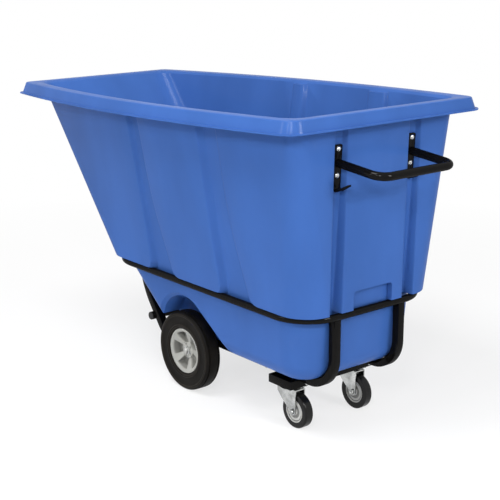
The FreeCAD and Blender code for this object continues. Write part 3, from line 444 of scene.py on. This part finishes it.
@dataclass(frozen=True)
class Rubber:
    """Black rubber with a dusty bloom."""

    name: str
    colour: Colour
    roughness: float = 0.52
    bloom: float = 0.2
    gloss: float = 0.0

    CLOUD: ClassVar[Grain] = Grain(14.0, 5.0, 0.6)
    CLOUD_STOPS: ClassVar[Stops] = ((0.42, 0.0), (0.75, 1.0))
    CLOUD_ROUGHNESS: ClassVar[float] = 0.16
    CLOUD_RELIEF: ClassVar[float] = 0.6
    SPECK: ClassVar[Grain] = Grain(260.0, 3.0)
    SPECK_SHARE: ClassVar[float] = 0.05
    DUST_COLOUR: ClassVar[Colour] = (0.034, 0.029, 0.024)
    SMOOTHING: ClassVar[float] = 0.06
    SPECULAR: ClassVar[float] = 0.08
    COAT_ROUGHNESS: ClassVar[float] = 0.05
    RELIEF: ClassVar[float] = 0.00018

    def material(self) -> bpy.types.Material:
        """Builds the material.

        Returns:
            The finished material.
        """
        shader = Shader(self.name)
        cloud = shader.noise(self.CLOUD)
        speck = shader.noise(self.SPECK)
        dust = shader.ramp(cloud, self.CLOUD_STOPS) * self.bloom + speck * self.SPECK_SHARE
        # For tyres the dust share also carries painted highlights on the sidewall ridges.
        shader.feed("Base Color", shader.blend(self.colour, self.DUST_COLOUR, self.dust_and_ridge_highlights(shader, dust)))
        shader.feed("Roughness", self.roughness + cloud * self.CLOUD_ROUGHNESS - self.SMOOTHING)
        shader.feed("Specular IOR Level", self.SPECULAR)
        shader.feed("Coat Weight", self.gloss)
        shader.feed("Coat Roughness", self.COAT_ROUGHNESS)
        shader.bump(speck + cloud * self.CLOUD_RELIEF, self.RELIEF)
        return shader.material

    def dust_and_ridge_highlights(self, shader: Shader, dust: Sock) -> Sock:
        """The dust as it is; tyre rubber adds painted highlights along its ridges."""
        return dust


@dataclass(frozen=True)
class TyreRubber(Rubber):
    """Tyre rubber with painted highlights along the ridges of its sidewalls, at their distances from the
    axle.
    """

    middle: Place = (0.0, 0.0, 0.0)
    ridges: tuple[float, ...] = ()
    ridge_half: float = 0.0022

    RIDGE_STOPS: ClassVar[Stops] = ((0.0, 0.6), (1.0, 0.0))

    def dust_and_ridge_highlights(self, shader: Shader, dust: Sock) -> Sock:
        """Adds painted highlights along the ridges, as lighter rings mixed in like dust.

        Args:
            shader: the material.
            dust: the dust all over.

        Returns:
            The dust with the painted ridge highlights.
        """
        reach = shader.axle_distance(self.middle)
        for ridge in self.ridges:
            # Painted highlight: a lighter ring at each ridge's distance from the axle.
            dust = dust + shader.ramp(abs(reach - ridge) * (1.0 / self.ridge_half), self.RIDGE_STOPS)
        return dust


@dataclass(frozen=True)
class PlatedSteel:
    """Bright zinc plate or turned steel, with soft stains."""

    name: str
    colour: Colour
    roughness: float = 0.2
    brush: Grain = Grain(300.0, 3.0)

    BRUSH_ROUGHNESS: ClassVar[float] = 0.12
    BRUSH_RELIEF: ClassVar[float] = 0.00006
    STAIN: ClassVar[Grain] = Grain(22.0, 5.0, 0.6)
    STAIN_STOPS: ClassVar[Stops] = ((0.36, 0.0), (0.62, 1.0))
    STAIN_ROUGHNESS: ClassVar[float] = 0.08
    STAINED: ClassVar[float] = 0.62
    CLEAN: ClassVar[float] = 1.12
    SMOOTHING: ClassVar[float] = 0.05

    def material(self) -> bpy.types.Material:
        """Builds the material.

        Returns:
            The finished material.
        """
        shader = Shader(self.name)
        stain = shader.noise(self.STAIN)
        brush = shader.noise(self.brush)
        stain_and_shade_free = shader.ramp(stain, self.STAIN_STOPS)
        bare, dull = tint(self.colour, self.CLEAN), tint(self.colour, self.STAINED)
        shader.feed("Base Color", shader.blend(dull, bare, stain_and_shade_free))
        shader.feed("Metallic", 1.0)
        rough = brush * self.BRUSH_ROUGHNESS + stain * self.STAIN_ROUGHNESS
        shader.feed("Roughness", self.roughness - self.SMOOTHING + rough)
        shader.bump(brush, self.BRUSH_RELIEF)
        return shader.material


class Slot(Enum):
    """The finishes, each named for its material slot in the record."""

    HOPPER = MouldedPlastic("hopper_plastic", (0.0385, 0.105, 0.337), roughness=0.4, mottle=0.09, scuff=0.2,
                            specular=0.02, gloss=0.11)
    FRAME = PowderCoat("frame_paint", (0.0034, 0.0032, 0.0031))
    CAP = MouldedPlastic("cap_plastic", (0.016, 0.016, 0.017), roughness=0.5, mottle=0.1, scuff=0.12)
    BRIGHT = PlatedSteel("bright_steel", (0.6, 0.6, 0.58), roughness=0.3,
                         brush=Grain(300.0, 3.0, stretch=(1.0, 0.15, 1.0)))
    ZINC = PlatedSteel("zinc_steel", (0.6, 0.61, 0.6))
    # The ridges listed here get painted highlights.
    TYRE = TyreRubber("tyre_rubber", (0.0036, 0.003, 0.0025), middle=JOINT_AT["wheel_right_spin"],
                      ridges=(0.094, 0.1015, 0.1365, 0.1425))
    # The hub's pockets get painted shade.
    HUB = WheelPlastic("hub_plastic", (0.34, 0.34, 0.316), roughness=0.4, mottle=0.06,
                       middle=JOINT_AT["wheel_right_spin"], hollow=-0.0169, cone=0.415, fade=0.008, hollow_shade=0.6)
    BEARING = MouldedPlastic("bearing_plastic", (0.7, 0.67, 0.58), grain=0.00008, scuff=0.05)
    CASTER_RUBBER = Rubber("caster_rubber", (0.004, 0.004, 0.0044), roughness=0.3, bloom=0.1, gloss=0.25)
    # The caster core's dished rings get painted shade.
    CASTER_CORE = WheelPlastic("caster_core", (0.46, 0.46, 0.44), roughness=0.38,
                               middle=JOINT_AT["caster_right_roll"], hollow=0.0125)

    @property
    def slot_name(self) -> str:
        """The record's name of the slot."""
        return self.value.name


class Paintbox:
    """Makes each slot's material once."""

    def __init__(self) -> None:
        """Starts with no material made."""
        self._made: dict[Slot, bpy.types.Material] = {}

    def of(self, slot: Slot) -> bpy.types.Material:
        """The material of a slot.

        Args:
            slot: the slot.

        Returns:
            Its material, made at the first call.
        """
        if slot not in self._made:
            self._made[slot] = slot.value.material()
        return self._made[slot]


# Shaping

SAME_PLACE = 1e-6
FLAT_DEGREES = 0.4
SHARP_DEGREES = 28.0
CREASE_DEGREES = 40.0
ROUNDING_SEGMENTS = 2


def new_piece(name: str, mesh: bmesh.types.BMesh, crease: float = CREASE_DEGREES) -> bpy.types.Object:
    """Turns a bmesh into a smooth-shaded object at the origin.

    Args:
        name: the piece's name.
        mesh: its shape, freed afterwards.
        crease: edges that turn by more degrees than this stay sharp.

    Returns:
        The linked object.
    """
    limit = math.radians(crease)
    for face in mesh.faces:
        face.smooth = True
    for edge in mesh.edges:
        edge.smooth = edge.is_manifold and edge.calc_face_angle(0.0) < limit
    data = bpy.data.meshes.new(name)
    mesh.to_mesh(data)
    mesh.free()
    piece = bpy.data.objects.new(name, data)
    bpy.context.scene.collection.objects.link(piece)
    return piece


def softened(node: str, rounding: float) -> bmesh.types.BMesh:
    """A merged copy of a node's mesh with its sharp edges rounded.

    Args:
        node: the node's name.
        rounding: how far the rounding reaches from an edge, in metres; 0 leaves the edges.

    Returns:
        The new shape.
    """
    mesh = bmesh.new()
    mesh.from_mesh(frame["nodes"][node].data)
    bmesh.ops.remove_doubles(mesh, verts=mesh.verts, dist=SAME_PLACE)
    bmesh.ops.dissolve_limit(mesh, angle_limit=math.radians(FLAT_DEGREES), verts=mesh.verts, edges=mesh.edges)
    if rounding > 0.0:
        limit = math.radians(SHARP_DEGREES)
        edges = [edge for edge in mesh.edges if edge.is_manifold and edge.calc_face_angle(0.0) > limit]
        bmesh.ops.bevel(mesh, geom=edges, offset=rounding, offset_type="OFFSET", segments=ROUNDING_SEGMENTS,
                        profile=0.5, affect="EDGES", clamp_overlap=True, material=-1)
    return mesh


@dataclass
class SubAssembly:
    """A group of pieces that are built and dressed together."""

    paint: Paintbox

    def soften(self, node: str, slot: Slot, rounding: float = 0.0, crease: float = CREASE_DEGREES) -> None:
        """Replaces a node by its softened copy, dressed and riding on the node's body.

        Args:
            node: the node's name.
            slot: the finish.
            rounding: how far the rounding of its edges reaches, in metres.
            crease: edges that turn by more degrees than this stay sharp.
        """
        piece = new_piece(node + "_soft", softened(node, rounding), crease)
        piece.data.materials.append(self.paint.of(slot))
        body = BODY_OF[node]
        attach(piece, body)
        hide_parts(node)
        LOG.info("%s: %d faces on %s", piece.name, len(piece.data.polygons), body)


# The truck

@dataclass
class Hopper(SubAssembly):
    """The moulded hopper."""

    crease: float = 24.0

    def build(self) -> None:
        """Smooths and dresses the hopper, whose edges are round already."""
        self.soften("hopper", Slot.HOPPER, crease=self.crease)


@dataclass
class TubeFrame(SubAssembly):
    """Loop, rails, legs, hangers, tipping bar and cross member."""

    tube_edge: float = 0.0008
    bar_edge: float = 0.0006
    cap_edge: float = 0.0004
    plate_edge: float = 0.0015

    def build(self) -> None:
        """Softens and dresses the frame's pieces."""
        self.soften("frame_loop", Slot.FRAME)
        self.soften("tip_bar", Slot.FRAME, self.bar_edge)
        self.soften("tip_bar_plugs", Slot.CAP, self.cap_edge)
        self.soften("rail_end_caps", Slot.CAP, self.cap_edge)
        for side in SIDES:
            self.soften("rail_" + side, Slot.FRAME, self.tube_edge)
            self.soften("front_leg_" + side, Slot.FRAME, self.tube_edge)
            self.soften("axle_hanger_" + side, Slot.FRAME, self.plate_edge)
        self.soften("caster_cross_member", Slot.FRAME, self.plate_edge)


@dataclass
class MainWheels(SubAssembly):
    """Both main wheels and their axle."""

    wheel_edge: float = 0.0012
    axle_edge: float = 0.0003
    washer_edge: float = 0.0004
    pin_edge: float = 0.0005
    bearing_edge: float = 0.0003

    def build(self) -> None:
        """Softens and dresses the wheels."""
        self.soften("axle", Slot.BRIGHT, self.axle_edge)
        self.soften("axle_washers", Slot.ZINC, self.washer_edge)
        self.soften("axle_split_pins", Slot.BRIGHT, self.pin_edge)
        for side in SIDES:
            self.soften("tyre_" + side, Slot.TYRE, self.wheel_edge)
            self.soften("wheel_hub_" + side, Slot.HUB, self.wheel_edge)
            self.soften("wheel_bearings_" + side, Slot.BEARING, self.bearing_edge)


@dataclass
class Casters(SubAssembly):
    """Both swivel casters and their bolts."""

    plate_edge: float = 0.0008
    bolt_edge: float = 0.0004
    bush_edge: float = 0.0003

    def build(self) -> None:
        """Softens and dresses the casters."""
        for side in SIDES:
            self.soften("caster_plate_" + side, Slot.ZINC, self.plate_edge)
            self.soften("caster_kingpin_" + side, Slot.ZINC, self.bolt_edge)
            self.soften("caster_balls_" + side, Slot.BRIGHT)
            self.soften("caster_fork_" + side, Slot.ZINC, self.plate_edge)
            self.soften("caster_axle_bolt_" + side, Slot.ZINC, self.bolt_edge)
            self.soften("caster_axle_nut_" + side, Slot.ZINC, self.bolt_edge)
            self.soften("caster_bush_" + side, Slot.BRIGHT, self.bush_edge)
            self.soften("caster_hub_" + side, Slot.CASTER_CORE, self.plate_edge)
            self.soften("caster_tread_" + side, Slot.CASTER_RUBBER)
        self.soften("caster_mount_bolts", Slot.ZINC, self.bolt_edge)
        self.soften("caster_mount_nuts", Slot.ZINC, self.bolt_edge)


@dataclass
class PushHandle(SubAssembly):
    """The push handle, its straps, and the bolts of the straps and of the hopper's floor."""

    strap_edge: float = 0.001
    bolt_edge: float = 0.0003
    nut_edge: float = 0.0004

    def build(self) -> None:
        """Softens and dresses the handle."""
        self.soften("push_handle", Slot.FRAME)
        for side in SIDES:
            self.soften("handle_strap_" + side, Slot.FRAME, self.strap_edge)
        for held in ("handle", "hopper"):
            self.soften(held + "_bolts", Slot.ZINC, self.bolt_edge)
            self.soften(held + "_washers", Slot.ZINC, self.bolt_edge)
            self.soften(held + "_nuts", Slot.ZINC, self.nut_edge)


# Studio

@dataclass(frozen=True)
class Lamp:
    """One soft area lamp that faces a point."""

    name: str
    place: Place
    size: tuple[float, float]
    watts: float
    aim: Place = (0.0, 0.0, 0.6)

    def build(self) -> None:
        """Adds the lamp to the scene."""
        data = bpy.data.lights.new(self.name, "AREA")
        data.shape = "RECTANGLE"
        data.size, data.size_y = self.size
        data.energy = self.watts
        lamp = bpy.data.objects.new(self.name, data)
        lamp.location = self.place
        lamp.rotation_euler = (Vector(self.aim) - Vector(self.place)).to_track_quat("-Z", "Y").to_euler()
        bpy.context.scene.collection.objects.link(lamp)


@dataclass
class Studio:
    """Pale floor, white surround, soft lamps and the camera."""

    camera_place: Place = (3.50603, -2.81818, 1.72603)
    camera_turn: float = 50.4275
    camera_tilt: float = 15.130
    camera_level: float = 90.0
    camera_reach: float = 100.0
    focal_pixels: float = 1219.13
    picture_pixels: float = 500.0
    sensor: float = 36.0
    floor_half: float = 14.0
    floor_colour: Colour = (0.9, 0.9, 0.9)
    floor_roughness: float = 0.9
    shadow_share: float = 0.3
    shadow_reach_shares: tuple[float, float] = (0.09, 0.24)
    ambient: float = 0.46
    lamps: tuple[Lamp, ...] = (
        Lamp("key", place=(-2.4, -8.0, 4.5), size=(2.0, 1.6), watts=110.0),
        Lamp("fill", place=(4.4, 0.9, 2.6), size=(0.9, 0.9), watts=66.0),
        Lamp("front", place=(2.6, -2.3, 2.3), size=(0.6, 0.6), watts=40.0),
        Lamp("top", place=(0.2, -2.0, 4.7), size=(2.2, 1.6), watts=160.0),
        Lamp("glint_near", place=(2.4, -4.6, 3.4), size=(0.3, 0.3), watts=30.0),
        Lamp("glint_rear", place=(5.2, 0.6, 3.4), size=(0.3, 0.3), watts=30.0),
    )

    def camera(self) -> None:
        """Adds the camera at the photo's viewing angle."""
        data = bpy.data.cameras.new("camera")
        data.sensor_fit = "HORIZONTAL"
        data.sensor_width = self.sensor
        data.lens = self.sensor * (self.focal_pixels / self.picture_pixels)
        data.clip_end = self.camera_reach
        camera = bpy.data.objects.new("camera", data)
        camera.location = self.camera_place
        pitch = math.radians(self.camera_level - self.camera_tilt)
        camera.rotation_euler = Euler((pitch, 0.0, math.radians(self.camera_turn)))
        bpy.context.scene.collection.objects.link(camera)
        bpy.context.scene.camera = camera

    def floor(self) -> None:
        """Adds the floor, which shows white with the object's soft shadow."""
        mesh = bmesh.new()
        bmesh.ops.create_grid(mesh, x_segments=1, y_segments=1, size=self.floor_half)
        piece = new_piece("floor", mesh)
        shader = Shader("floor_pale")
        shader.feed("Base Color", rgba(self.floor_colour))
        shader.feed("Roughness", self.floor_roughness)
        near, far = self.shadow_reach_shares
        shadow = shader.ramp(shader.length(shader.place) * (1.0 / self.floor_half),
                             ((near, self.shadow_share), (far, 0.0)))
        white = shader.node("ShaderNodeEmission", sockets={"Color": rgba(WHITE), "Strength": 1.0})
        mix = shader.node("ShaderNodeMixShader", sockets={0: shader.seen_rays() * (1.0 - shadow),
                                                          1: shader.surface.outputs[0], 2: white.outputs[0]})
        plug(shader.tree, shader.output.inputs["Surface"], mix.outputs[0])
        piece.data.materials.append(shader.material)

    def surround(self) -> None:
        """Sets a white surround that lights the object softly."""
        world = bpy.data.worlds.new("surround")
        bpy.context.scene.world = world
        world.use_nodes = True
        graph = Graph(world.node_tree)
        strength = graph.seen_rays() * (1.0 - self.ambient) + self.ambient
        back = graph.node("ShaderNodeBackground", sockets={"Color": rgba(WHITE), "Strength": strength})
        graph.node("ShaderNodeOutputWorld", sockets={"Surface": back.outputs[0]})

    def build(self) -> None:
        """Builds the whole studio."""
        self.camera()
        self.floor()
        self.surround()
        for lamp in self.lamps:
            lamp.build()
        bpy.context.scene.view_settings.view_transform = "Standard"


def main() -> None:
    """Builds the truck and its studio."""
    logging.basicConfig(level=logging.INFO)
    paint = Paintbox()
    for assembly in (Hopper(paint), TubeFrame(paint), MainWheels(paint), Casters(paint), PushHandle(paint)):
        assembly.build()
    Studio().build()


if __name__ == "__main__":
    main()
